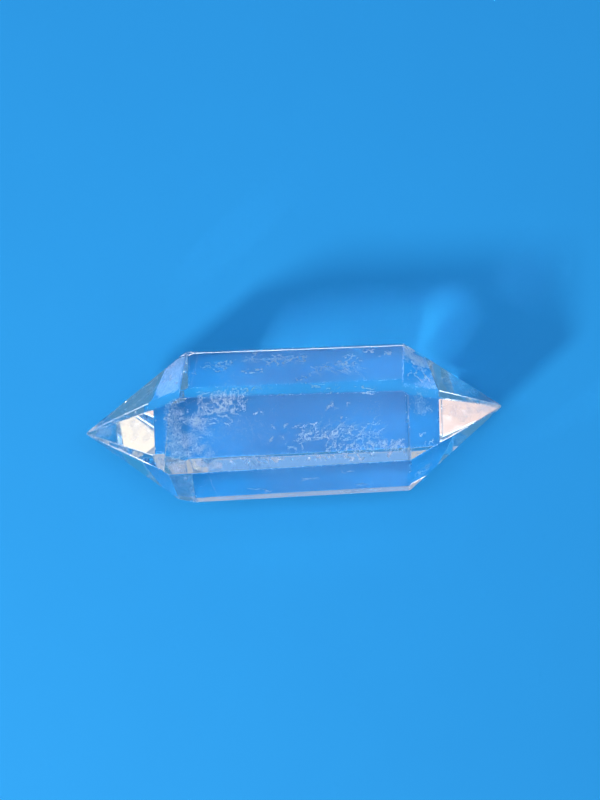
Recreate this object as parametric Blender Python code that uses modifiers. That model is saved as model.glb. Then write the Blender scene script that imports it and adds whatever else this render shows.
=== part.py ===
"""A polished clear quartz point with a six-sided pyramid at each end, lying on one prism face.

Metres, +Z up. The long axis runs along X. The origin is on the face that the stone rests on,
under the middle of its box. Every facet is one flat cut through a six-sided blank, as the
stone is ground, so the edges and corners fall where the cuts meet.

A facet's turn is the way it faces round the axis: 0 degrees is the back (+Y), 90 is straight up.
"""

from dataclasses import dataclass
from math import cos, radians, sin
from typing import Optional

import bmesh
import bpy
import numpy as np
from mathutils import Matrix, Vector

MM = 0.001

# Size of the stone
TIP_TO_TIP = 50.0 * MM
AXIS_HEIGHT = 9.0 * MM
ACROSS_CORNERS = 18.3 * MM

# Where each tip stands off the axis, as (backwards, upwards)
LEFT_TIP_OFFSET = (-0.1 * MM, 0.65 * MM)
RIGHT_TIP_OFFSET = (0.7 * MM, 0.15 * MM)

# Polished edges are barely rounded
EDGE_SOFTENING = 0.12 * MM
EDGE_STEPS = 2

# The blank is cut from all round, so it starts larger than the stone
BLANK_SPARE = 1.3

# Points closer than this are one point
SAME_POINT = 0.005 * MM
ON_THE_CUT = 0.0001 * MM

STONE_NAME = "quartz_crystal"
COLLECTION_NAME = "quartz_point"
STONE_COLOUR = (0.93, 0.96, 1.0, 1.0)
STONE_ROUGHNESS = 0.02
STONE_IOR = 1.544


@dataclass(frozen=True)
class Side:
    """A long face of the prism: its turn, its distance from the axis and its taper to the right tip."""

    turn: float
    depth: float
    taper: float = 0.0


@dataclass(frozen=True)
class TipCut:
    """A pyramid facet through a tip: its turn, and its slope to the axis.

    Instead of a slope it may name the neighbour whose corner on the prism it meets.
    """

    turn: float
    slope: float = 0.0
    meets: Optional[str] = None


@dataclass(frozen=True)
class Facet:
    """A flat cut: everything beyond distance along the normal is ground away."""

    normal: Vector
    distance: float


SIDES = {
    "back_upper": Side(turn=28.3, depth=7.6 * MM, taper=1.0),
    "top": Side(turn=93.8, depth=8.6 * MM),
    "front_upper": Side(turn=153.2, depth=7.85 * MM, taper=0.7),
    "front_lower": Side(turn=212.9, depth=7.9 * MM, taper=0.1),
    "resting": Side(turn=270.0, depth=AXIS_HEIGHT),
    "back_lower": Side(turn=330.3, depth=7.95 * MM, taper=0.5),
}

LEFT_CUTS = {
    "back_upper": TipCut(turn=29.1, slope=30.8),
    "top": TipCut(turn=86.8, slope=35.1),
    "front_upper": TipCut(turn=152.3, slope=34.6),
    "front_lower": TipCut(turn=208.1, slope=33.9),
    "resting": TipCut(turn=270.3, slope=39.0),
    "back_lower": TipCut(turn=330.5, meets="back_upper"),
}

RIGHT_CUTS = {
    "back_upper": TipCut(turn=30.3, slope=30.1),
    "front_upper": TipCut(turn=153.8, slope=36.0),
    "top": TipCut(turn=94.8, meets="front_upper"),
    "front_lower": TipCut(turn=212.6, meets="front_upper"),
    "resting": TipCut(turn=269.5, meets="front_lower"),
    "back_lower": TipCut(turn=331.4, meets="back_upper"),
}


def clear_scene():
    for obj in list(bpy.data.objects):
        bpy.data.objects.remove(obj, do_unlink=True)


def facing(turn, lean):
    """The direction of a facet that leans by so many degrees out of the section, towards +X."""
    across = cos(radians(lean))
    return Vector((sin(radians(lean)), across * cos(radians(turn)), across * sin(radians(turn))))


def side_facet(side):
    return Facet(facing(side.turn, side.taper), side.depth)


def tip_facet(turn, slope, tip, end):
    normal = facing(turn, end * slope)
    return Facet(normal, normal.dot(tip))


def corner(*facets):
    """The point where three facets meet."""
    normals = np.array([facet.normal[:] for facet in facets])
    return Vector(np.linalg.solve(normals, [facet.distance for facet in facets]))


def slope_to_meet(point, tip, turn, end):
    """The slope at which a facet with this turn passes through both the tip and the point."""
    reach = point - tip
    outward = reach.y * cos(radians(turn)) + reach.z * sin(radians(turn))
    return float(np.degrees(np.arctan2(outward, -end * reach.x)))


def tip_facets(cuts, offset, end, sides):
    """The pyramid at one end, which is -1 for the left and +1 for the right."""
    tip = Vector((end * TIP_TO_TIP / 2, *offset))
    facets = {}
    for name, cut in cuts.items():
        slope = cut.slope
        if cut.meets:
            shared = corner(sides[name], sides[cut.meets], facets[cut.meets])
            slope = slope_to_meet(shared, tip, cut.turn, end)
        facets[name] = tip_facet(cut.turn, slope, tip, end)
    return list(facets.values())


def blank():
    """A six-sided rod along X, larger than the stone, with a flat under it."""
    rod = bmesh.new()
    bmesh.ops.create_cone(
        rod,
        cap_ends=True,
        segments=6,
        radius1=BLANK_SPARE * ACROSS_CORNERS / 2,
        radius2=BLANK_SPARE * ACROSS_CORNERS / 2,
        depth=BLANK_SPARE * TIP_TO_TIP,
    )
    bmesh.ops.rotate(rod, verts=rod.verts, matrix=Matrix.Rotation(radians(90), 3, "Y"))
    return rod


def grind(stone, facet):
    """Cuts one facet flat and closes the stone over it."""
    bmesh.ops.bisect_plane(
        stone,
        geom=stone.verts[:] + stone.edges[:] + stone.faces[:],
        dist=ON_THE_CUT,
        plane_co=facet.normal * facet.distance,
        plane_no=facet.normal,
        clear_outer=True,
    )
    rim = [edge for edge in stone.edges if edge.is_boundary]
    bmesh.ops.contextual_create(stone, geom=rim)


def stand_on_origin(stone):
    """Moves the stone so that the origin is under the middle of its box."""
    points = np.array([vertex.co[:] for vertex in stone.verts])
    low, high = points.min(axis=0), points.max(axis=0)
    middle = (low + high) / 2
    bmesh.ops.translate(stone, verts=stone.verts, vec=(-middle[0], -middle[1], -low[2]))


def cut_stone():
    sides = {name: side_facet(side) for name, side in SIDES.items()}
    stone = blank()
    for facet in sides.values():
        grind(stone, facet)
    for facet in tip_facets(LEFT_CUTS, LEFT_TIP_OFFSET, -1, sides):
        grind(stone, facet)
    for facet in tip_facets(RIGHT_CUTS, RIGHT_TIP_OFFSET, 1, sides):
        grind(stone, facet)
    bmesh.ops.remove_doubles(stone, verts=stone.verts, dist=SAME_POINT)
    bmesh.ops.recalc_face_normals(stone, faces=stone.faces)
    stand_on_origin(stone)
    return stone


def clear_quartz():
    material = bpy.data.materials.new("clear_quartz")
    material.use_nodes = True
    shader = material.node_tree.nodes["Principled BSDF"]
    shader.inputs["Base Color"].default_value = STONE_COLOUR
    shader.inputs["Roughness"].default_value = STONE_ROUGHNESS
    shader.inputs["Metallic"].default_value = 0.0
    shader.inputs["IOR"].default_value = STONE_IOR
    shader.inputs["Transmission Weight"].default_value = 1.0
    return material


def soften_edges(stone):
    bevel = stone.modifiers.new("polished_edges", "BEVEL")
    bevel.width = EDGE_SOFTENING
    bevel.segments = EDGE_STEPS
    bevel.limit_method = "NONE"


def main():
    clear_scene()
    home = bpy.data.collections.new(COLLECTION_NAME)
    bpy.context.scene.collection.children.link(home)
    mesh = bpy.data.meshes.new(STONE_NAME)
    stone = cut_stone()
    stone.to_mesh(mesh)
    stone.free()
    mesh.materials.append(clear_quartz())
    crystal = bpy.data.objects.new(STONE_NAME, mesh)
    home.objects.link(crystal)
    soften_edges(crystal)


main()
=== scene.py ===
"""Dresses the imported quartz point: the polished stone, the veils inside it and a small studio.

Metres, +Z up, the long axis along X and the resting face on Z = 0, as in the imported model.
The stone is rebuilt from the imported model's own facet planes, so its size and its corners
are the model's. Everything inside it is placed in millimetres from the same origin.
"""

import logging
from dataclasses import dataclass, field
from enum import Enum
from itertools import combinations

import bpy
import numpy as np
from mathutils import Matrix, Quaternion, Vector


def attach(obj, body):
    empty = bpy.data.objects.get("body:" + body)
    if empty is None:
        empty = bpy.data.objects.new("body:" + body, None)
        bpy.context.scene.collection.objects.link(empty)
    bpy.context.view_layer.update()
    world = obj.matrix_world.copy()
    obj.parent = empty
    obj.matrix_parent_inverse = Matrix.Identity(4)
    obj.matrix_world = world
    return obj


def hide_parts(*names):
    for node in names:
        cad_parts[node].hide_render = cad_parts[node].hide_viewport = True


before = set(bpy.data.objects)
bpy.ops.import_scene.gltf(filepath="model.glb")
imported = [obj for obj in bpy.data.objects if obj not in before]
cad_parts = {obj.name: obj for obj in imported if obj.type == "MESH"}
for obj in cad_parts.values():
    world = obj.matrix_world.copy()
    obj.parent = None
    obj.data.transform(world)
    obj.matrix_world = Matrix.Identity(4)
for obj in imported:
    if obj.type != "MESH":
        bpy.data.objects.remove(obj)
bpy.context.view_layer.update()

MM = 0.001
SEED = 20
STONE_NODE = "quartz_crystal"
BODY = "root"

# A clear stone passes light many times between its facets
LIGHT_BOUNCES = 32
BRIGHTEST_BOUNCE = 40.0

# Sockets of the Mix node when it mixes colours
MIX_FIRST = 6
MIX_SECOND = 7
MIX_RESULT = 2

# The rounds' place among the stone's materials
EDGE_SLOT = 1

# An octahedron has this many points
OCTAHEDRON_POINTS = 6

# How fast a wispy veil thins out beside its lines
WISP_FALL = 3

log = logging.getLogger("quartz_point")

Triple = tuple[float, float, float]
Colour = tuple[float, float, float, float]
Socket = bpy.types.NodeSocket


@dataclass(frozen=True)
class Pattern:
    """A noise pattern: cycles per metre, octaves, and the share that each octave adds."""

    scale: float
    detail: float
    roughness: float


class NodeBench:
    """Adds shader nodes to one material or world and joins them."""

    def __init__(self, owner: bpy.types.ID) -> None:
        """Empties the owner's node tree.

        Args:
            owner: the material or world to work on.
        """
        owner.use_nodes = True
        self.tree = owner.node_tree
        self.tree.nodes.clear()

    def add(self, kind: str, **settings: object) -> bpy.types.Node:
        """Adds one node.

        Args:
            kind: the node's type name, without ShaderNode.
            settings: properties of the node to set.

        Returns:
            The new node.
        """
        node = self.tree.nodes.new("ShaderNode" + kind)
        for name, value in settings.items():
            setattr(node, name, value)
        return node

    def join(self, source: Socket, target: Socket) -> None:
        """Links one socket to another."""
        self.tree.links.new(source, target)

    def fill(self, node: bpy.types.Node, **values: object) -> bpy.types.Node:
        """Sets a node's input sockets by name.

        Args:
            node: the node.
            values: what each socket gets, where an underscore in a name stands for a space.

        Returns:
            The same node.
        """
        for name, value in values.items():
            node.inputs[name.replace("_", " ")].default_value = value
        return node

    def place(self) -> Socket:
        """Adds the piece's own coordinates and returns them."""
        return self.add("TexCoord").outputs["Object"]

    def noise(self, place: Socket, pattern: Pattern) -> Socket:
        """Adds a noise pattern.

        Args:
            place: the coordinates that it reads.
            pattern: its sizes.

        Returns:
            The pattern's value, from 0 to 1.
        """
        node = self.add("TexNoise")
        self.fill(node, Scale=pattern.scale, Detail=pattern.detail, Roughness=pattern.roughness)
        self.join(place, node.inputs["Vector"])
        return node.outputs["Fac"]

    def spread(
        self, value: Socket, low: float, high: float, to_low: float, to_high: float
    ) -> Socket:
        """Maps a value's range onto another one, with smooth ends.

        Args:
            value: what is mapped.
            low: the value that gives to_low.
            high: the value that gives to_high.
            to_low: the result at low and beyond it.
            to_high: the result at high and beyond it.

        Returns:
            The mapped value.
        """
        node = self.add("MapRange", interpolation_type="SMOOTHSTEP")
        self.fill(node, From_Min=low, From_Max=high, To_Min=to_low, To_Max=to_high)
        self.join(value, node.inputs["Value"])
        return node.outputs["Result"]

    def combine(self, kind: str, first: Socket, second: Socket) -> Socket:
        """Works out one value from two.

        Args:
            kind: the Math node's operation.
            first: one value.
            second: the other.

        Returns:
            The result.
        """
        node = self.add("Math", operation=kind)
        self.join(first, node.inputs[0])
        self.join(second, node.inputs[1])
        return node.outputs[0]

    def mix(self, share: Socket, first: Colour, second: Colour) -> Socket:
        """Mixes two colours.

        Args:
            share: 0 gives the first colour and 1 the second.
            first: one colour.
            second: the other.

        Returns:
            The mixed colour.
        """
        node = self.add("Mix", data_type="RGBA")
        self.join(share, node.inputs["Factor"])
        node.inputs[MIX_FIRST].default_value = first
        node.inputs[MIX_SECOND].default_value = second
        return node.outputs[MIX_RESULT]


def mesh_piece(
    name: str, points: np.ndarray, faces: list, finishes: list[bpy.types.Material]
) -> bpy.types.Object:
    """Makes a mesh object at the origin.

    Args:
        name: the piece's name.
        points: n by 3, in metres.
        faces: lists of indices into points.
        finishes: the materials, in slot order.

    Returns:
        The object, linked to the scene.
    """
    mesh = bpy.data.meshes.new(name)
    mesh.from_pydata(points.tolist(), [], faces)
    mesh.update()
    for finish in finishes:
        mesh.materials.append(finish)
    piece = bpy.data.objects.new(name, mesh)
    bpy.context.scene.collection.objects.link(piece)
    return piece


@dataclass(frozen=True)
class FrostSpot:
    """A place where fine marks break the polish: centre and reach in mm, and its roughness."""

    centre: Triple
    reach: float
    roughness: float


@dataclass(frozen=True)
class PolishedQuartz:
    """Clear, colourless quartz, polished by hand.

    The polish is a slow ripple of the facets, a few micrometres high. A fine frost shows at
    the spots listed. The haze and the grain count over the ranges given.
    """

    name: str = "polished_quartz"
    ior: float = 1.544
    roughness: float = 0.004
    dullest: float = 3.0
    passes: Colour = (0.86, 0.95, 1.0, 1.0)
    density: float = 6.0
    ripple: Pattern = Pattern(scale=170.0, detail=1.0, roughness=0.4)
    ripple_height: float = 0.002 * MM
    clear: Colour = (1.0, 1.0, 1.0, 1.0)
    smoke: Colour = (0.955, 0.965, 0.98, 1.0)
    smoke_drift: Pattern = Pattern(scale=90.0, detail=2.0, roughness=0.5)
    haze: Pattern = Pattern(scale=700.0, detail=3.0, roughness=0.6)
    haze_range: tuple[float, float] = (0.35, 0.75)
    grain: Pattern = Pattern(scale=5200.0, detail=2.0, roughness=0.7)
    grain_range: tuple[float, float] = (0.44, 0.58)
    full_frost: float = 0.15
    spots: tuple[FrostSpot, ...] = ()

    def material(self) -> bpy.types.Material:
        """Builds the node material.

        Returns:
            The material.
        """
        made = bpy.data.materials.new(self.name)
        bench = NodeBench(made)
        out = bench.add("OutputMaterial")
        shader = bench.fill(bench.add("BsdfPrincipled"), IOR=self.ior, Transmission_Weight=1.0)
        place = bench.place()
        bench.join(self.tint(bench, place), shader.inputs["Base Color"])
        bench.join(self.gloss(bench, place), shader.inputs["Roughness"])
        bump = bench.fill(bench.add("Bump"), Strength=1.0, Distance=self.ripple_height)
        bench.join(bench.noise(place, self.ripple), bump.inputs["Height"])
        bench.join(bump.outputs["Normal"], shader.inputs["Normal"])
        absorb = bench.fill(bench.add("VolumeAbsorption"), Color=self.passes, Density=self.density)
        bench.join(shader.outputs["BSDF"], out.inputs["Surface"])
        bench.join(absorb.outputs["Volume"], out.inputs["Volume"])
        return made

    def tint(self, bench: NodeBench, place: Socket) -> Socket:
        """Returns a colour that drifts between clear and the faintest smoke across the stone."""
        return bench.mix(bench.noise(place, self.smoke_drift), self.clear, self.smoke)

    def gloss(self, bench: NodeBench, place: Socket) -> Socket:
        """Works out the roughness: the polish, with frost at each spot that fades from its centre.

        The result is the larger of the polish and, at each spot, its roughness times a fade
        that falls from 1 near the centre to 0 at its reach, times the grain.

        Args:
            bench: the material's nodes.
            place: the coordinates that the patterns read.

        Returns:
            The roughness.
        """
        rough = self.roughness, self.roughness * self.dullest
        level = bench.spread(bench.noise(place, self.haze), *self.haze_range, *rough)
        grain = bench.noise(place, self.grain)
        for spot in self.spots:
            away = bench.add("VectorMath", operation="DISTANCE")
            bench.join(place, away.inputs[0])
            away.inputs[1].default_value = tuple(MM * part for part in spot.centre)
            rim = spot.reach * MM
            start = self.full_frost * spot.reach * MM
            near = bench.spread(away.outputs["Value"], start, rim, spot.roughness, 0.0)
            marks = bench.spread(grain, *self.grain_range, 0.0, 1.0)
            level = bench.combine("MAXIMUM", level, bench.combine("MULTIPLY", near, marks))
        return level


@dataclass(frozen=True)
class SoftEdge:
    """The narrow rounds between facets, which are less polished than the facets are.

    Their roughness runs from least to most times its middle value as the wear does.
    """

    name: str = "edge_rounds"
    ior: float = 1.544
    colour: Colour = (1.0, 1.0, 1.0, 1.0)
    roughness: float = 0.10
    least: float = 0.3
    most: float = 3.0
    wear: Pattern = Pattern(scale=1500.0, detail=3.0, roughness=0.65)
    wear_range: tuple[float, float] = (0.40, 0.68)
    bump_strength: float = 0.6
    bump_height: float = 0.012 * MM

    def material(self) -> bpy.types.Material:
        """Builds the node material.

        Returns:
            The material.
        """
        made = bpy.data.materials.new(self.name)
        bench = NodeBench(made)
        out = bench.add("OutputMaterial")
        shader = bench.fill(bench.add("BsdfPrincipled"), Base_Color=self.colour, IOR=self.ior)
        bench.fill(shader, Transmission_Weight=1.0)
        wear = bench.noise(bench.place(), self.wear)
        rough = self.roughness * self.least, self.roughness * self.most
        bench.join(bench.spread(wear, *self.wear_range, *rough), shader.inputs["Roughness"])
        bump = bench.add("Bump")
        bench.fill(bump, Strength=self.bump_strength, Distance=self.bump_height)
        bench.join(wear, bump.inputs["Height"])
        bench.join(bump.outputs["Normal"], shader.inputs["Normal"])
        bench.join(shader.outputs["BSDF"], out.inputs["Surface"])
        return made


@dataclass(frozen=True)
class Milk:
    """The white of healed cracks and trapped bubbles inside the stone.

    The colour drifts from light to dark, and the roughness up to its full value, as one cloud.
    """

    name: str
    light: Colour
    dark: Colour
    roughness: float = 0.45
    smoothest: float = 0.6
    ior: float = 1.33
    cloud: Pattern = Pattern(scale=900.0, detail=3.0, roughness=0.6)
    colour_range: tuple[float, float] = (0.35, 0.65)
    gloss_range: tuple[float, float] = (0.3, 0.7)

    def material(self) -> bpy.types.Material:
        """Builds the node material.

        Returns:
            The material.
        """
        made = bpy.data.materials.new(self.name)
        bench = NodeBench(made)
        out = bench.add("OutputMaterial")
        shader = bench.fill(bench.add("BsdfPrincipled"), IOR=self.ior, Transmission_Weight=0.0)
        cloud = bench.noise(bench.place(), self.cloud)
        share = bench.spread(cloud, *self.colour_range, 0.0, 1.0)
        bench.join(bench.mix(share, self.light, self.dark), shader.inputs["Base Color"])
        rough = self.roughness * self.smoothest, self.roughness
        bench.join(bench.spread(cloud, *self.gloss_range, *rough), shader.inputs["Roughness"])
        bench.join(shader.outputs["BSDF"], out.inputs["Surface"])
        return made


@dataclass(frozen=True)
class SkyBlueCard:
    """Matt card in a clear sky blue, with the faintest mottle."""

    name: str = "sky_blue_card"
    colour: Colour = (0.020, 0.250, 0.57, 1.0)
    mottle: Colour = (0.019, 0.238, 0.55, 1.0)
    drift: Pattern = Pattern(scale=60.0, detail=4.0, roughness=0.6)
    roughness: float = 0.75
    shine: float = 0.06

    def material(self) -> bpy.types.Material:
        """Builds the node material.

        Returns:
            The material.
        """
        made = bpy.data.materials.new(self.name)
        bench = NodeBench(made)
        out = bench.add("OutputMaterial")
        shader = bench.add("BsdfPrincipled")
        bench.fill(shader, Roughness=self.roughness, Specular_IOR_Level=self.shine)
        drift = bench.noise(bench.place(), self.drift)
        bench.join(bench.mix(drift, self.colour, self.mottle), shader.inputs["Base Color"])
        bench.join(shader.outputs["BSDF"], out.inputs["Surface"])
        return made


@dataclass
class CutStone:
    """The polished stone: 18 flat facets and the narrow rounds between them.

    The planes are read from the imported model's node. The flecks inside ask it what is inside.
    """

    node: str = STONE_NODE
    least_facet: float = 10.0 * MM * MM
    same_plane: float = 0.01
    key_length: float = 100 * MM
    same_point: float = 0.03 * MM
    least_volume: float = 1e-4
    edge_round: float = 0.125 * MM
    edge_steps: int = 3
    normals: np.ndarray = field(init=False)
    distances: np.ndarray = field(init=False)

    def __post_init__(self) -> None:
        """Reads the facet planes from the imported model."""
        self.normals, self.distances = self.planes()

    def planes(self) -> tuple[np.ndarray, np.ndarray]:
        """Finds the planes of the large flat facets.

        Triangles with the same rounded normal and distance make one facet, where the distance
        is counted in key lengths. The plane is the mean of its triangles by area. The narrow
        rounds are far smaller and fall away.

        Returns:
            Outward unit normals, n by 3, and distances from the origin, n.
        """
        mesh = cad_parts[self.node].data
        points = np.empty(len(mesh.vertices) * 3, np.float32)
        mesh.vertices.foreach_get("co", points)
        mesh.calc_loop_triangles()
        corners = np.empty(len(mesh.loop_triangles) * 3, np.int32)
        mesh.loop_triangles.foreach_get("vertices", corners)
        a, b, c = points.astype(float).reshape(-1, 3)[corners.reshape(-1, 3)].transpose(1, 0, 2)
        cross = np.cross(b - a, c - a)
        area = np.linalg.norm(cross, axis=1) / 2
        flat = area > 0
        normal = cross[flat] / (2 * area[flat, None])
        reach = (normal * a[flat]).sum(axis=1)
        key = np.round(np.c_[normal, reach / self.key_length] / self.same_plane).astype(int)
        group = np.unique(key, axis=0, return_inverse=True)[1].reshape(-1)
        total = np.bincount(group, area[flat])
        kept = np.flatnonzero(total > self.least_facet)
        share = (group[None] == kept[:, None]) * area[flat]
        mean = share @ normal
        mean /= np.linalg.norm(mean, axis=1, keepdims=True)
        return mean, (share @ reach) / share.sum(axis=1)

    def inside(self, points: np.ndarray, margin: float) -> np.ndarray:
        """Says which points are at least margin below every facet."""
        return (points @ self.normals.T <= self.distances - margin).all(axis=1)

    def corners(self) -> np.ndarray:
        """Finds where three facets meet on the stone.

        Every three planes are solved for their common point, unless they are near parallel,
        where their normals span less than least_volume. A point counts where it is outside no
        other plane by more than a sixth of same_point. Points closer than same_point are one.

        Returns:
            The corners, n by 3.
        """
        threes = np.array(list(combinations(range(len(self.normals)), 3)))
        planes = self.normals[threes]
        sound = np.abs(np.linalg.det(planes)) > self.least_volume
        points = np.linalg.solve(planes[sound], self.distances[threes[sound]][..., None])[..., 0]
        points = points[self.inside(points, -self.same_point / 6)]
        gaps = np.linalg.norm(points[:, None] - points[None], axis=2)
        first = (gaps < self.same_point).argmax(axis=1)
        return np.array([points[first == one].mean(axis=0) for one in np.unique(first)])

    def outlines(self, corners: np.ndarray) -> list[list[int]]:
        """Orders each facet's corners round it, seen from outside.

        A corner is on a facet where it is within half of same_point of its plane. The order is
        by the corner's angle about the middle of the facet's corners.

        Args:
            corners: n by 3.

        Returns:
            For each facet, indices into corners.
        """
        found = []
        for normal, distance in zip(self.normals, self.distances):
            on = np.flatnonzero(np.abs(corners @ normal - distance) < self.same_point / 2)
            arms = corners[on] - corners[on].mean(axis=0)
            first = arms[0] / np.linalg.norm(arms[0])
            angle = np.arctan2(arms @ np.cross(normal, first), arms @ first)
            found.append(on[np.argsort(angle)].tolist())
        return found

    def build(self, polish: bpy.types.Material, edge: bpy.types.Material) -> bpy.types.Object:
        """Makes the stone and rounds its edges.

        Args:
            polish: the material of the facets.
            edge: the material of the rounds.

        Returns:
            The stone.
        """
        corners = self.corners()
        stone = mesh_piece("polished_stone", corners, self.outlines(corners), [polish, edge])
        stone.data.shade_smooth()
        bevel = stone.modifiers.new("edge_rounds", "BEVEL")
        bevel.width = self.edge_round
        bevel.segments = self.edge_steps
        bevel.limit_method = "NONE"
        bevel.material = EDGE_SLOT
        bevel.harden_normals = True
        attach(stone, BODY)
        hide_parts(self.node)
        return stone


class Drift(Enum):
    """How flecks gather on a veil: the share of the clouds in a fleck's score, beside chance.

    On an even veil there is chance alone. On a cloudy one flecks gather where the field of
    clouds is high, and on a wispy one in the thin curly lines where the field is near zero.
    """

    EVEN = 0.0
    CLOUDY = 0.55
    WISPY = 0.95

    @property
    def draws(self) -> int:
        """How many flecks are drawn for each one that is kept."""
        return 15 if self is Drift.WISPY else 4


@dataclass(frozen=True)
class Veil:
    """A healed crack: a bowed sheet of flecks. Places and sizes are in mm.

    A point of the sheet is middle + u * along + v * across
    + bow * (1 - u * u) * (1 - v * v) * normal, for u and v from -1 to 1.
    """

    middle: Triple
    along: Triple
    across: Triple
    flecks: int
    bow: float = 0.05
    fleck: tuple[float, float] = (0.02, 0.05)
    stretch: float = 1.6
    drift: Drift = Drift.WISPY
    clump: float = 0.40
    jitter: float = 0.12


@dataclass(frozen=True)
class Threads:
    """Fine feathers in the stone: curved strings of flecks. Places and sizes are in mm.

    String k runs from its start along heading, leant off it by chance by about lean times the
    tangent of fan, in degrees. A point at t from 0 to 1 stands off by curl * sin(pi * t) to
    one side, and the flecks there are smaller by the share taper * t.
    """

    middle: Triple
    spread: Triple
    heading: Triple
    strings: int
    length: tuple[float, float] = (0.8, 2.4)
    steps: int = 22
    fan: float = 25.0
    lean: float = 0.6
    curl: float = 0.25
    fleck: tuple[float, float] = (0.022, 0.046)
    taper: float = 0.6
    stretch: float = 1.8
    jitter: float = 0.05


@dataclass
class FleckPiece:
    """One piece made of many tiny flattened octahedra, each a bubble or a bit of healed crack.

    Flatness is a fleck's thickness over its width. A sheet thins out where u and v are
    further than rim from its middle, by rim_fade for each unit, and by chance everywhere.
    """

    name: str
    finish: Milk
    sheets: tuple[Veil, ...] = ()
    strings: tuple[Threads, ...] = ()
    margin: float = 0.10 * MM
    flatness: float = 0.45
    rim: float = 0.45
    rim_fade: float = 1.2
    chance: float = 0.25
    seed: int = SEED
    centres: list[np.ndarray] = field(default_factory=list, init=False)
    sizes: list[np.ndarray] = field(default_factory=list, init=False)
    frames: list[np.ndarray] = field(default_factory=list, init=False)

    def build(self, stone: CutStone) -> bpy.types.Object:
        """Makes the piece and rides it on the stone's body.

        Args:
            stone: says which flecks are inside.

        Returns:
            The piece.
        """
        rng = np.random.default_rng(self.seed)
        for sheet in self.sheets:
            self.add_sheet(sheet, rng)
        for threads in self.strings:
            self.add_strings(threads, rng)
        stored = (self.centres, self.sizes, self.frames)
        centres, sizes, frames = (np.concatenate(part) for part in stored)
        kept = stone.inside(centres, self.margin)
        points, faces = octahedra(centres[kept], sizes[kept], frames[kept])
        piece = mesh_piece(self.name, points, faces.tolist(), [self.finish.material()])
        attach(piece, BODY)
        return piece

    def keep(
        self, centres: np.ndarray, size: np.ndarray, stretch: float, axes: np.ndarray
    ) -> None:
        """Stores flecks with half sizes of size * stretch, size and size * flatness.

        Args:
            centres: n by 3, in mm.
            size: n, in mm.
            stretch: a fleck's length over its width.
            axes: n by 3 by 3, with an axis in each row.
        """
        flat = np.stack([size * stretch, size, size * self.flatness], axis=1)
        self.centres.append(centres * MM)
        self.sizes.append(flat * MM)
        self.frames.append(axes)

    def add_sheet(self, sheet: Veil, rng: np.random.Generator) -> None:
        """Scatters flecks over a veil, thicker where its drift gathers them.

        Many more flecks are drawn than are kept, and those with the best score stay. The score
        is the drift's share of the clouds and the rest of chance, less the fade at the rim. On
        a wispy veil 1 - WISP_FALL * |clouds| stands for the clouds, and peaks along thin lines.

        Args:
            sheet: the veil.
            rng: the seeded source of chance.
        """
        tries = sheet.flecks * sheet.drift.draws
        u, v = rng.uniform(-1, 1, (2, tries))
        along, across = np.array(sheet.along), np.array(sheet.across)
        normal = np.cross(along, across)
        normal /= np.linalg.norm(normal)
        bow = sheet.bow * (1 - u * u) * (1 - v * v)
        plane = np.array(sheet.middle) + np.outer(u, along) + np.outer(v, across)
        points = plane + np.outer(bow, normal)
        edge = np.sqrt(u * u + v * v)
        gather = clouds(points, sheet.clump, rng)
        if sheet.drift is Drift.WISPY:
            gather = 1 - WISP_FALL * np.abs(gather)
        share = sheet.drift.value
        score = share * gather + (1 - share) * rng.normal(size=tries)
        fade = self.rim_fade * np.clip(edge - self.rim, 0, None)
        score -= fade + self.chance * rng.normal(size=tries)
        best = np.argsort(-score)[: sheet.flecks]
        points = points[best] + rng.normal(size=(len(best), 3)) * sheet.jitter
        size = rng.uniform(*sheet.fleck, len(best))
        self.keep(points, size, sheet.stretch, turned_axes(normal, len(best), rng))

    def add_strings(self, threads: Threads, rng: np.random.Generator) -> None:
        """Lays flecks along curved strings, by the formula that Threads gives.

        Args:
            threads: the strings' sizes.
            rng: the seeded source of chance.
        """
        count = threads.strings
        offset = rng.uniform(-1, 1, (count, 3)) * np.array(threads.spread)
        start = np.array(threads.middle) + offset
        heading = np.array(threads.heading) / np.linalg.norm(threads.heading)
        lean = rng.normal(size=(count, 3)) * np.tan(np.radians(threads.fan))
        way = heading + lean * threads.lean
        way /= np.linalg.norm(way, axis=1, keepdims=True)
        side = np.cross(way, rng.normal(size=(count, 3)))
        side /= np.linalg.norm(side, axis=1, keepdims=True)
        t = np.linspace(0, 1, threads.steps)
        reach = rng.uniform(*threads.length, count)
        bend = rng.normal(size=count) * threads.curl
        points = (
            start[:, None]
            + way[:, None] * (reach[:, None] * t)[..., None]
            + side[:, None] * (bend[:, None] * np.sin(np.pi * t))[..., None]
        ).reshape(-1, 3)
        points = points + rng.normal(size=points.shape) * threads.jitter
        thin = np.tile(1 - threads.taper * t, count)
        size = rng.uniform(*threads.fleck, len(points)) * thin
        upright = np.array([0.0, 0.0, 1.0])
        self.keep(points, size, threads.stretch, turned_axes(upright, len(points), rng))


def clouds(points: np.ndarray, size: float, rng: np.random.Generator) -> np.ndarray:
    """A smooth random field: the sum of sixteen cosine waves, scaled to a spread of about 1.

    A wave's direction and length are chance, and a shorter one weighs less: its weight is
    1 / (0.6 + the length of its wave vector).

    Args:
        points: n by 3, in mm.
        size: about the size of a cloud, in mm.
        rng: the seeded source of chance.

    Returns:
        The field at each point.
    """
    count, pace, softness, tiny = 16, 2.2, 0.6, 1e-9
    waves = rng.normal(size=(count, 3)) * (pace / size)
    phase = rng.uniform(0, 2 * np.pi, count)
    weight = 1 / (softness + np.linalg.norm(waves, axis=1))
    field_here = (np.cos(points @ waves.T + phase) * weight).sum(axis=1)
    return field_here / (np.std(field_here) + tiny)


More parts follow.
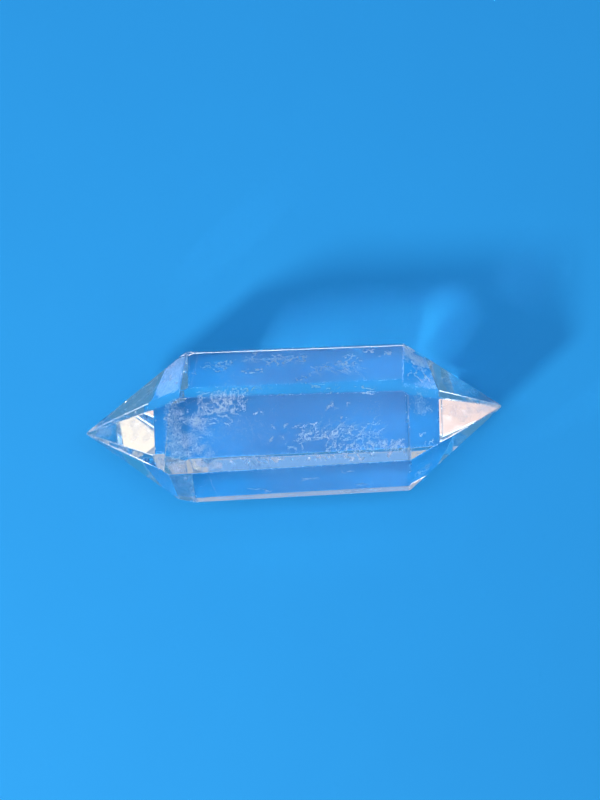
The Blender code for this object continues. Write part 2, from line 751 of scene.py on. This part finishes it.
def turned_axes(
    normal: np.ndarray, count: int, rng: np.random.Generator, lean: float = 0.45
) -> np.ndarray:
    """Three right-angled axes for each fleck, whose third leans at random about the normal.

    Args:
        normal: the sheet's unit normal.
        count: how many flecks.
        rng: the seeded source of chance.
        lean: how far the third axis leans, as a share of its length.

    Returns:
        count by 3 by 3, with an axis in each row.
    """
    third = normal + rng.normal(size=(count, 3)) * lean
    third /= np.linalg.norm(third, axis=1, keepdims=True)
    first = np.cross(third, rng.normal(size=(count, 3)))
    first /= np.linalg.norm(first, axis=1, keepdims=True)
    return np.stack([first, np.cross(third, first), third], axis=1)


def octahedra(
    centres: np.ndarray, sizes: np.ndarray, axes: np.ndarray
) -> tuple[np.ndarray, np.ndarray]:
    """Octahedra: each has a point at centre plus and minus each half size along its axis.

    Args:
        centres: n by 3, in metres.
        sizes: n by 3 half sizes.
        axes: n by 3 by 3, right-handed, with an axis in each row.

    Returns:
        6n by 3 points and 8n by 3 faces, which point outwards.
    """
    arms = sizes[:, :, None] * axes
    ends = np.stack([arms, -arms], axis=2).reshape(-1, OCTAHEDRON_POINTS, 3)
    points = centres[:, None] + ends
    upper = [[0, 2, 4], [2, 1, 4], [1, 3, 4], [3, 0, 4]]
    lower = [[2, 0, 5], [1, 2, 5], [3, 1, 5], [0, 3, 5]]
    first = OCTAHEDRON_POINTS * np.arange(len(centres))
    faces = np.array(upper + lower)[None] + first[:, None, None]
    return points.reshape(-1, 3), faces.reshape(-1, 3)


@dataclass(frozen=True)
class Lamp:
    """A soft lamp that faces the stone: its place and width in mm, and its power in watts.

    It is a disc, or a rectangle where it has a depth in mm.
    """

    name: str
    place: Triple
    size: float
    power: float
    colour: Triple
    depth: float = 0.0

    def hang(self) -> None:
        """Makes the lamp and turns it to the origin."""
        lamp = bpy.data.lights.new(self.name, "AREA")
        lamp.shape = "RECTANGLE" if self.depth else "DISK"
        lamp.size = self.size * MM
        lamp.size_y = self.depth * MM
        lamp.energy = self.power
        lamp.color = self.colour
        light = bpy.data.objects.new(self.name, lamp)
        light.location = Vector(self.place) * MM
        light.rotation_mode = "QUATERNION"
        light.rotation_quaternion = (-light.location).to_track_quat("-Z", "Y")
        bpy.context.scene.collection.objects.link(light)


@dataclass
class Studio:
    """A sky blue card floor, a sky, three soft lamps, and the camera above the stone.

    The facets look at small parts of the sky, so its colours show in them. Each stop of the
    sky is a height, the upward part of the direction, and the colour there. From below
    upwards it is dim blue, grey, a narrow blue ring, and a peach cap straight above.
    """

    floor_radius: float = 6.0
    floor_middle: float = 0.02
    floor_gap: float = 0.04 * MM
    rings: int = 40
    spokes: int = 96
    camera_place: Triple = (11.19, 11.28, 163.53)
    camera_turn: Triple = (-0.0574, 0.0640, -0.0521)
    camera_lens: float = 58.5
    camera_sensor: float = 36.0
    camera_near: float = 5 * MM
    camera_far: float = 50.0
    sky_strength: float = 1.2
    sky_stops: tuple[tuple[float, Colour], ...] = (
        (0.0, (0.13, 0.21, 0.29, 1.0)),
        (0.24, (0.035, 0.22, 0.41, 1.0)),
        (0.46, (0.15, 0.20, 0.27, 1.0)),
        (0.62, (0.29, 0.37, 0.52, 1.0)),
        (0.74, (0.40, 0.43, 0.48, 1.0)),
        (0.86, (0.45, 0.48, 0.52, 1.0)),
        (0.945, (0.48, 0.50, 0.54, 1.0)),
        (0.962, (0.17, 0.37, 0.70, 1.0)),
        (0.988, (0.17, 0.37, 0.70, 1.0)),
        (0.992, (0.92, 0.71, 0.66, 1.0)),
    )
    lamps: tuple[Lamp, ...] = (
        Lamp(name="key_light", place=(-195.0, -160.0, 205.0), size=54.0, power=0.95,
             colour=(1.0, 0.93, 0.84)),
        Lamp(name="back_fill", place=(42.0, 289.0, 273.0), size=90.0, power=0.0165,
             colour=(1.0, 0.75, 0.43)),
        Lamp(name="strip_light", place=(0.0, 72.0, 400.0), size=440.0, depth=110.0, power=0.8,
             colour=(0.82, 0.93, 1.0)),
    )

    def floor(self) -> bpy.types.Object:
        """Makes a round floor.

        A point of it is (r * cos(a), r * sin(a), -floor_gap), with r growing by equal shares
        from ring to ring and the angle a going round in equal steps.

        Returns:
            The floor.
        """
        radius = np.geomspace(self.floor_middle, self.floor_radius, self.rings)
        angle = np.linspace(0, 2 * np.pi, self.spokes, endpoint=False)
        ring = np.stack([np.cos(angle), np.sin(angle)], axis=1)
        flat = (radius[:, None, None] * ring[None]).reshape(-1, 2)
        points = np.c_[np.vstack([flat, [0, 0]]), np.full(len(flat) + 1, -self.floor_gap)]
        grid = np.arange(self.rings * self.spokes).reshape(self.rings, self.spokes)
        after = np.roll(grid, -1, axis=1)
        corners = [grid[:-1], grid[1:], after[1:], after[:-1]]
        quads = np.stack(corners, axis=-1).reshape(-1, 4)
        fan = np.stack([grid[0], after[0], np.full(self.spokes, len(flat))], axis=-1)
        faces = quads.tolist() + fan.tolist()
        floor = mesh_piece("floor", points, faces, [SkyBlueCard().material()])
        return floor

    def sky(self) -> None:
        """Lights the scene from all round, with the sky's stops joined by straight ramps."""
        world = bpy.data.worlds.new("soft_sky")
        bench = NodeBench(world)
        out = bench.add("OutputWorld")
        glow = bench.fill(bench.add("Background"), Strength=self.sky_strength)
        split = bench.add("SeparateXYZ")
        bench.join(bench.add("TexCoord").outputs["Generated"], split.inputs[0])
        ramp = bench.add("ValToRGB")
        bench.join(split.outputs["Z"], ramp.inputs["Fac"])
        elements = ramp.color_ramp.elements
        for height, _ in self.sky_stops[len(elements):]:
            elements.new(height)
        in_order = sorted(elements, key=lambda element: element.position)
        for element, (height, colour) in zip(in_order, self.sky_stops):
            element.position = height
            element.color = colour
        bench.join(ramp.outputs["Color"], glow.inputs["Color"])
        bench.join(glow.outputs["Background"], out.inputs["Surface"])
        bpy.context.scene.world = world

    def light(self) -> None:
        """Hangs the lamps."""
        for lamp in self.lamps:
            lamp.hang()

    def camera(self) -> None:
        """Sets the camera where it looks down on the stone, a little from the right and back."""
        lens = bpy.data.cameras.new("camera")
        lens.lens = self.camera_lens
        lens.sensor_width = self.camera_sensor
        lens.clip_start = self.camera_near
        lens.clip_end = self.camera_far
        camera = bpy.data.objects.new("camera", lens)
        turn = Vector(self.camera_turn)
        camera.location = Vector(self.camera_place) * MM
        camera.rotation_mode = "QUATERNION"
        camera.rotation_quaternion = Quaternion(turn.normalized(), turn.length)
        bpy.context.scene.collection.objects.link(camera)
        bpy.context.scene.camera = camera


# Below are this stone's own sizes and places

FROST = (
    FrostSpot(centre=(14.0, 7.5, 10.6), reach=2.4, roughness=0.25),
    FrostSpot(centre=(13.2, -3.6, 17.0), reach=1.6, roughness=0.20),
    FrostSpot(centre=(-13.9, -3.6, 16.9), reach=1.8, roughness=0.12),
)

WHITE = Milk(name="veil_white", light=(0.98, 0.98, 1.0, 1.0), dark=(0.86, 0.90, 0.97, 1.0))
PEARL = Milk(name="veil_pearl", light=(1.0, 0.97, 0.98, 1.0), dark=(0.90, 0.86, 0.93, 1.0),
             roughness=0.3)

TOP_SHEETS = (
    Veil(middle=(-13.04, 0.56, 17.15), along=(0.92, 0.07, 0.00), across=(0.19, -3.44, -0.23),
         flecks=2740, bow=0.1, fleck=(0.013, 0.029), drift=Drift.EVEN, clump=0.60, jitter=0.180),
    Veil(middle=(-10.66, 0.32, 16.94), along=(2.07, 0.13, 0.01), across=(0.14, -3.21, -0.21),
         flecks=4550, bow=0.15, fleck=(0.013, 0.029), drift=Drift.CLOUDY, clump=0.80, jitter=0.200),
    Veil(middle=(-12.38, 3.85, 17.57), along=(0.98, 0.06, 0.00), across=(0.02, -0.40, -0.03),
         flecks=180, fleck=(0.014, 0.031), clump=0.44, jitter=0.036),
    Veil(middle=(-11.70, -1.69, 17.00), along=(2.18, 0.01, 0.00), across=(-0.01, -0.81, -0.05),
         flecks=980, bow=0.1, fleck=(0.015, 0.031), drift=Drift.CLOUDY, clump=0.50, jitter=0.120),
    Veil(middle=(-7.53, 2.33, 16.57), along=(2.59, 0.21, 0.01), across=(0.11, -1.60, -0.11),
         flecks=1380, bow=0.2, fleck=(0.017, 0.037), clump=0.50, jitter=0.063),
    Veil(middle=(-10.31, 1.16, 17.09), along=(0.87, 0.13, 0.01), across=(0.03, -0.25, -0.02),
         flecks=40, fleck=(0.023, 0.050), jitter=0.032),
    Veil(middle=(-8.49, 0.96, 17.08), along=(0.42, 0.27, 0.02), across=(0.18, -0.29, -0.02),
         flecks=40, fleck=(0.021, 0.046), jitter=0.036),
    Veil(middle=(-6.83, 0.94, 17.08), along=(0.47, 0.21, 0.01), across=(0.11, -0.26, -0.02),
         flecks=40, fleck=(0.019, 0.041), jitter=0.036),
    Veil(middle=(-5.05, 3.13, 17.02), along=(0.36, -0.59, -0.04), across=(-0.29, -0.18, -0.01),
         flecks=60, fleck=(0.019, 0.041), jitter=0.036),
    Veil(middle=(-7.31, 2.78, 16.90), along=(1.86, 0.48, 0.03), across=(0.16, -0.66, -0.04),
         flecks=350, bow=0.1, fleck=(0.019, 0.041), jitter=0.045),
    Veil(middle=(4.51, -0.97, 15.95), along=(3.42, 0.12, 0.01), across=(0.01, -0.52, -0.03),
         flecks=620, bow=0.15, fleck=(0.019, 0.045), clump=0.55, jitter=0.036),
    Veil(middle=(2.09, -1.43, 15.72), along=(1.26, 0.11, 0.01), across=(0.02, -0.27, -0.02),
         flecks=90, bow=0.1, fleck=(0.019, 0.043), clump=0.44, jitter=0.041),
    Veil(middle=(2.64, 0.10, 16.12), along=(1.26, 0.17, 0.01), across=(0.04, -0.34, -0.02),
         flecks=120, bow=0.1, fleck=(0.019, 0.041), clump=0.44, jitter=0.036),
    Veil(middle=(5.25, 2.36, 15.57), along=(1.95, 0.25, 0.02), across=(0.06, -0.51, -0.03),
         flecks=210, bow=0.2, fleck=(0.014, 0.033), clump=0.55, jitter=0.054),
    Veil(middle=(6.38, 0.78, 16.46), along=(0.63, 0.14, 0.01), across=(0.05, -0.22, -0.01),
         flecks=30, bow=0.1, fleck=(0.021, 0.043), jitter=0.032),
    Veil(middle=(0.67, -2.17, 15.67), along=(1.25, -0.12, -0.01), across=(-0.05, -0.46, -0.03),
         flecks=250, bow=0.1, fleck=(0.014, 0.033), clump=0.55, jitter=0.054),
    Veil(middle=(8.30, -1.42, 16.52), along=(0.53, 0.43, 0.03), across=(0.21, -0.27, -0.02),
         flecks=60, bow=0.1, fleck=(0.019, 0.041), jitter=0.036),
    Veil(middle=(10.74, -2.28, 16.66), along=(0.53, 0.37, 0.02), across=(0.19, -0.28, -0.02),
         flecks=60, bow=0.1, fleck=(0.019, 0.041), jitter=0.036),
    Veil(middle=(8.62, -3.02, 16.91), along=(1.25, 0.05, 0.00), across=(0.01, -0.25, -0.02),
         flecks=80, bow=0.1, fleck=(0.019, 0.041), jitter=0.036),
    Veil(middle=(12.33, -3.19, 17.00), along=(0.68, 0.08, 0.01), across=(0.03, -0.25, -0.02),
         flecks=40, bow=0.1, fleck=(0.021, 0.043), jitter=0.032),
    Veil(middle=(-0.91, 0.20, 15.62), along=(1.38, 0.10, 0.01), across=(0.02, -0.29, -0.02),
         flecks=220, bow=0.2, fleck=(0.012, 0.029), clump=0.66, jitter=0.063),
    Veil(middle=(-1.82, -1.20, 15.13), along=(1.27, 0.05, 0.00), across=(0.01, -0.29, -0.02),
         flecks=200, bow=0.2, fleck=(0.012, 0.029), clump=0.66, jitter=0.063),
    Veil(middle=(-3.71, 1.62, 16.22), along=(0.88, 0.36, 0.02), across=(0.08, -0.21, -0.01),
         flecks=90, bow=0.1, fleck=(0.014, 0.033), clump=0.44, jitter=0.045),
    Veil(middle=(15.20, 1.92, 15.98), along=(1.31, -0.36, -1.03), across=(-0.25, -1.10, 0.10),
         flecks=560, bow=0.1, fleck=(0.014, 0.031), drift=Drift.CLOUDY, clump=0.50, jitter=0.140),
    Veil(middle=(14.86, -1.66, 15.68), along=(0.65, 0.21, -0.48), across=(0.11, -0.27, -0.10),
         flecks=70, bow=0.1, fleck=(0.019, 0.041), jitter=0.036),
    Veil(middle=(15.77, -2.55, 15.29), along=(0.59, 0.22, -0.43), across=(0.12, -0.27, -0.11),
         flecks=60, bow=0.1, fleck=(0.019, 0.041), jitter=0.032),
    Veil(middle=(-14.32, 1.64, 16.46), along=(0.80, 0.17, 0.55), across=(0.04, -0.18, 0.04),
         flecks=60, fleck=(0.019, 0.037), jitter=0.027),
    Veil(middle=(-18.62, 0.52, 13.62), along=(3.10, 0.38, 2.16), across=(0.15, -1.50, 0.19),
         flecks=2010, fleck=(0.010, 0.020), drift=Drift.CLOUDY, clump=0.70, jitter=0.100),
    Veil(middle=(20.21, 0.56, 12.29), along=(2.79, 0.12, -2.12), across=(0.13, -1.17, -0.20),
         flecks=1450, fleck=(0.010, 0.020), drift=Drift.CLOUDY, clump=0.70, jitter=0.100),
    Veil(middle=(-22.49, 0.08, 10.92), along=(1.43, 0.19, 1.00), across=(0.07, -0.59, 0.08),
         flecks=1000, fleck=(0.013, 0.026), drift=Drift.EVEN, clump=0.60, jitter=0.100),
)

EDGE_SHEETS = (
    Veil(middle=(6.00, -3.34, 17.09), along=(0.68, 0.08, 0.01), across=(0.04, -0.41, -0.03),
         flecks=150, fleck=(0.021, 0.047), jitter=0.032),
    Veil(middle=(7.91, -3.61, 17.08), along=(1.69, -0.02, -0.00), across=(-0.01, -0.48, -0.03),
         flecks=610, fleck=(0.017, 0.041), jitter=0.036),
    Veil(middle=(-3.22, -3.53, 17.08), along=(4.45, -0.04, -0.00), across=(-0.01, -0.39, -0.03),
         flecks=1390, fleck=(0.017, 0.039), clump=0.55, jitter=0.032),
    Veil(middle=(3.50, -3.45, 17.09), along=(2.27, 0.01, 0.00), across=(-0.00, -0.39, -0.03),
         flecks=660, fleck=(0.017, 0.041), clump=0.44, jitter=0.032),
    Veil(middle=(11.36, -3.49, 17.08), along=(1.75, 0.03, 0.00), across=(0.01, -0.36, -0.02),
         flecks=650, fleck=(0.014, 0.035), clump=0.55, jitter=0.032),
    Veil(middle=(-12.92, -3.82, 17.06), along=(1.21, 0.06, 0.00), across=(0.01, -0.58, -0.04),
         flecks=1120, fleck=(0.013, 0.031), drift=Drift.CLOUDY, clump=0.60, jitter=0.060),
    Veil(middle=(-9.52, -3.75, 17.07), along=(1.84, 0.03, 0.00), across=(-0.00, -0.51, -0.03),
         flecks=1490, fleck=(0.013, 0.031), drift=Drift.CLOUDY, clump=0.60, jitter=0.060),
)

BACK_SHEETS = (
    Veil(middle=(-7.64, 7.37, 10.67), along=(1.70, 0.08, -0.22), across=(0.07, -0.25, 0.46),
         flecks=220, fleck=(0.019, 0.043), jitter=0.032),
    Veil(middle=(-8.48, 6.42, 12.47), along=(1.05, 0.00, -0.04), across=(0.03, -0.14, 0.26),
         flecks=80, fleck=(0.019, 0.043), jitter=0.023),
    Veil(middle=(-10.86, 6.31, 12.74), along=(0.52, 0.03, -0.07), across=(0.04, -0.11, 0.20),
         flecks=40, fleck=(0.017, 0.035), jitter=0.023),
    Veil(middle=(-4.22, 7.93, 9.50), along=(1.05, 0.17, -0.36), across=(0.13, -0.36, 0.66),
         flecks=200, fleck=(0.019, 0.045), clump=0.44, jitter=0.036),
    Veil(middle=(-0.86, 7.08, 10.11), along=(2.24, 0.11, -0.29), across=(0.13, -0.67, 1.24),
         flecks=1240, bow=0.1, fleck=(0.014, 0.035), clump=0.55, jitter=0.054),
    Veil(middle=(1.63, 7.18, 10.25), along=(0.81, 0.30, -0.58), across=(0.26, -0.53, 0.97),
         flecks=270, bow=0.1, fleck=(0.019, 0.045), clump=0.44, jitter=0.041),
    Veil(middle=(3.74, 5.91, 12.53), along=(1.09, 0.33, -0.65), across=(0.07, -0.17, 0.31),
         flecks=130, bow=0.1, fleck=(0.017, 0.041), jitter=0.032),
    Veil(middle=(1.87, 5.14, 14.03), along=(0.91, 0.22, -0.45), across=(0.08, -0.21, 0.38),
         flecks=180, bow=0.1, fleck=(0.014, 0.035), jitter=0.036),
    Veil(middle=(6.77, 6.70, 10.96), along=(1.35, 0.27, -0.54), across=(0.18, -0.65, 1.20),
         flecks=470, bow=0.1, fleck=(0.019, 0.045), clump=0.44, jitter=0.045),
    Veil(middle=(8.12, 7.02, 10.52), along=(0.58, -0.36, 0.66), across=(-0.08, -0.12, 0.23),
         flecks=60, fleck=(0.019, 0.043), jitter=0.023),
    Veil(middle=(6.59, 5.77, 12.68), along=(0.93, 0.12, -0.25), across=(0.03, -0.17, 0.32),
         flecks=110, bow=0.1, fleck=(0.017, 0.039), jitter=0.032),
    Veil(middle=(10.49, 7.46, 9.62), along=(1.76, -0.20, 0.31), across=(-0.05, -0.40, 0.75),
         flecks=590, bow=0.1, fleck=(0.014, 0.035), clump=0.44, jitter=0.041),
    Veil(middle=(11.43, 7.47, 9.78), along=(0.48, 0.20, -0.39), across=(0.07, -0.17, 0.30),
         flecks=60, fleck=(0.019, 0.041), jitter=0.023),
    Veil(middle=(-5.18, 6.19, 11.92), along=(2.15, 0.11, -0.29), across=(0.11, -0.44, 0.81),
         flecks=1130, bow=0.1, fleck=(0.012, 0.029), clump=0.55, jitter=0.054),
    Veil(middle=(8.74, 3.70, 16.04), along=(1.46, -0.38, 0.66), across=(-0.05, -0.18, 0.33),
         flecks=250, bow=0.1, fleck=(0.014, 0.035), clump=0.44, jitter=0.036),
    Veil(middle=(4.42, 3.96, 15.71), along=(1.71, -0.13, 0.19), across=(-0.00, -0.27, 0.50),
         flecks=500, bow=0.1, fleck=(0.012, 0.031), clump=0.55, jitter=0.045),
    Veil(middle=(-4.70, 4.25, 15.93), along=(1.94, 0.01, -0.09), across=(0.06, -0.31, 0.58),
         flecks=660, bow=0.1, fleck=(0.012, 0.031), clump=0.44, jitter=0.045),
    Veil(middle=(15.12, 6.68, 9.66), along=(1.43, -0.90, -0.09), across=(-0.23, -0.31, 0.80),
         flecks=2420, fleck=(0.015, 0.033), drift=Drift.EVEN, jitter=0.080),
    Veil(middle=(14.24, 7.80, 8.64), along=(0.56, 0.13, -0.86), across=(0.11, -0.44, 0.62),
         flecks=1080, fleck=(0.015, 0.037), drift=Drift.EVEN, jitter=0.080),
    Veil(middle=(14.98, 6.28, 10.17), along=(1.16, -0.54, -0.40), across=(-0.35, -0.64, 1.50),
         flecks=1180, fleck=(0.014, 0.033), drift=Drift.CLOUDY, clump=0.50, jitter=0.100),
    Veil(middle=(15.17, 4.70, 12.55), along=(1.40, -0.35, -1.01), across=(-0.18, -0.62, 1.27),
         flecks=1330, fleck=(0.013, 0.029), clump=0.44, jitter=0.045),
    Veil(middle=(-14.38, 5.62, 11.28), along=(0.77, 0.17, 0.65), across=(0.09, -0.13, 0.33),
         flecks=120, fleck=(0.017, 0.037), jitter=0.023),
    Veil(middle=(-12.65, 5.25, 14.06), along=(0.48, 0.11, 0.39), across=(0.10, -0.14, 0.37),
         flecks=70, fleck=(0.019, 0.039), jitter=0.023),
    Veil(middle=(-13.97, 7.29, 8.78), along=(0.75, 0.28, 0.43), across=(0.15, -0.17, 0.48),
         flecks=200, fleck=(0.014, 0.033), jitter=0.032),
    Veil(middle=(-17.78, 4.06, 10.15), along=(2.53, 1.67, 0.10), across=(0.80, -0.54, 1.95),
         flecks=2300, fleck=(0.010, 0.020), drift=Drift.CLOUDY, clump=0.80, jitter=0.100),
    Veil(middle=(19.81, 3.44, 9.60), along=(2.15, -1.52, 0.13), across=(-0.56, -0.59, 1.64),
         flecks=1670, fleck=(0.010, 0.020), drift=Drift.CLOUDY, clump=0.80, jitter=0.100),
)

DEEP_SHEETS = (
    Veil(middle=(1.0, 0.3, 10.0), along=(9.5, 1.0, 1.2), across=(0.4, 3.4, 2.6),
         flecks=1500, bow=0.8, fleck=(0.012, 0.024), drift=Drift.CLOUDY, clump=2.2, jitter=0.3),
    Veil(middle=(-6.5, -1.0, 7.0), along=(4.0, -1.2, 1.8), across=(0.6, 2.6, -1.6),
         flecks=600, bow=0.6, fleck=(0.012, 0.022), drift=Drift.CLOUDY, clump=1.6, jitter=0.3),
)

TOP_STRINGS = (
    Threads(middle=(-10.45, 1.5, 17.2), spread=(0.3, 0.3, 0.1), heading=(1.0, 0.3, 0.0),
            strings=16, length=(0.3, 0.9), fan=75.0, curl=0.1),
    Threads(middle=(-7.4, 3.2, 16.8), spread=(2.8, 1.2, 0.2), heading=(0.7, 1.0, 0.0),
            strings=84, length=(0.4, 1.4), fan=35.0),
    Threads(middle=(5.2, -0.9, 15.9), spread=(4.8, 0.9, 0.3), heading=(1.0, 0.45, 0.1),
            strings=96, length=(0.5, 1.9), fan=30.0),
    Threads(middle=(8.6, -2.6, 17.0), spread=(4.4, 0.5, 0.1), heading=(0.5, 1.0, 0.0),
            strings=96, length=(0.3, 0.9), fan=35.0),
    Threads(middle=(-11.5, -0.5, 17.0), spread=(2.0, 3.0, 0.1), heading=(1.0, 0.8, 0.0),
            strings=40, length=(0.2, 0.7), fan=60.0),
)

BACK_STRINGS = (
    Threads(middle=(5.2, 5.9, 12.0), spread=(2.9, 0.8, 1.4), heading=(1.0, -0.45, 0.8),
            strings=56, length=(0.6, 2.4), fan=24.0),
    Threads(middle=(-2.7, 7.3, 9.9), spread=(3.0, 0.2, 0.4), heading=(1.0, -0.1, 0.2),
            strings=30, length=(0.5, 1.6), fan=20.0),
    Threads(middle=(-8.8, 7.0, 11.2), spread=(1.6, 0.5, 0.9), heading=(1.0, -0.3, 0.5),
            strings=26, length=(0.4, 1.4), fan=30.0),
    Threads(middle=(-13.9, 6.2, 11.0), spread=(0.8, 0.7, 1.2), heading=(0.5, 0.6, 0.9),
            strings=14, length=(0.5, 1.6), fan=25.0),
    Threads(middle=(15.1, 6.2, 10.8), spread=(1.1, 0.8, 1.0), heading=(1.0, -0.9, -0.2),
            strings=24, length=(0.3, 1.2), fan=40.0),
)

FRONT_SHEETS = (
    Veil(middle=(1.46, -6.02, 13.03), along=(0.67, 0.19, 0.35), across=(0.01, -0.18, -0.35),
         flecks=130, fleck=(0.014, 0.033), jitter=0.027),
    Veil(middle=(6.38, -5.20, 14.51), along=(0.82, 0.10, 0.17), across=(0.00, -0.21, -0.41),
         flecks=160, fleck=(0.014, 0.033), jitter=0.027),
    Veil(middle=(7.94, -7.22, 10.47), along=(1.43, 0.14, 0.24), across=(0.00, -0.24, -0.47),
         flecks=300, fleck=(0.014, 0.035), jitter=0.027),
    Veil(middle=(-4.22, -7.29, 10.66), along=(1.74, -0.44, -0.91), across=(-0.07, -0.22, -0.43),
         flecks=550, fleck=(0.012, 0.029), clump=0.44, jitter=0.027),
    Veil(middle=(14.92, -6.03, 10.28), along=(1.10, 0.74, -0.30), across=(0.24, -0.44, -1.28),
         flecks=1050, fleck=(0.012, 0.029), clump=0.44, jitter=0.045),
)

FRONT_STRINGS = (
    Threads(middle=(1.7, -5.9, 13.4), spread=(0.8, 0.1, 0.3), heading=(1.0, -0.1, -0.25),
            strings=6, length=(0.6, 1.6), fan=10.0),
    Threads(middle=(7.4, -8.3, 8.8), spread=(2.2, 0.1, 0.3), heading=(1.0, 0.05, 0.2),
            strings=12, length=(0.6, 2.0), fan=10.0),
)


def set_light_paths() -> None:
    """Lets light pass many times through the stone, keeps its glints, and shows plain colours."""
    cycles = bpy.context.scene.cycles
    cycles.max_bounces = cycles.glossy_bounces = cycles.transmission_bounces = LIGHT_BOUNCES
    cycles.sample_clamp_indirect = BRIGHTEST_BOUNCE
    cycles.blur_glossy = 0.0
    bpy.context.scene.view_settings.view_transform = "Standard"


def main() -> None:
    """Builds the studio, the stone and what is inside it, and reports each piece."""
    logging.basicConfig(level=logging.INFO, format="%(name)s: %(message)s")
    set_light_paths()
    studio = Studio()
    floor = studio.floor()
    log.info("%s: %d points", floor.name, len(floor.data.vertices))
    studio.sky()
    studio.light()
    studio.camera()
    cut = CutStone()
    stone = cut.build(PolishedQuartz(spots=FROST).material(), SoftEdge().material())
    log.info("%s: %d facets, %d corners", stone.name, len(cut.normals), len(stone.data.vertices))
    pieces = (
        FleckPiece("top_veils", WHITE, TOP_SHEETS, TOP_STRINGS, seed=SEED),
        FleckPiece("edge_feathers", PEARL, EDGE_SHEETS, seed=SEED + 1),
        FleckPiece("back_veils", WHITE, BACK_SHEETS, BACK_STRINGS, seed=SEED + 2),
        FleckPiece("deep_veils", WHITE, DEEP_SHEETS, seed=SEED + 3),
        FleckPiece("front_feathers", PEARL, FRONT_SHEETS, FRONT_STRINGS, seed=SEED + 4),
    )
    for flecks in pieces:
        piece = flecks.build(cut)
        log.info("%s: %d flecks", piece.name, len(piece.data.vertices) // OCTAHEDRON_POINTS)


if __name__ == "__main__":
    main()
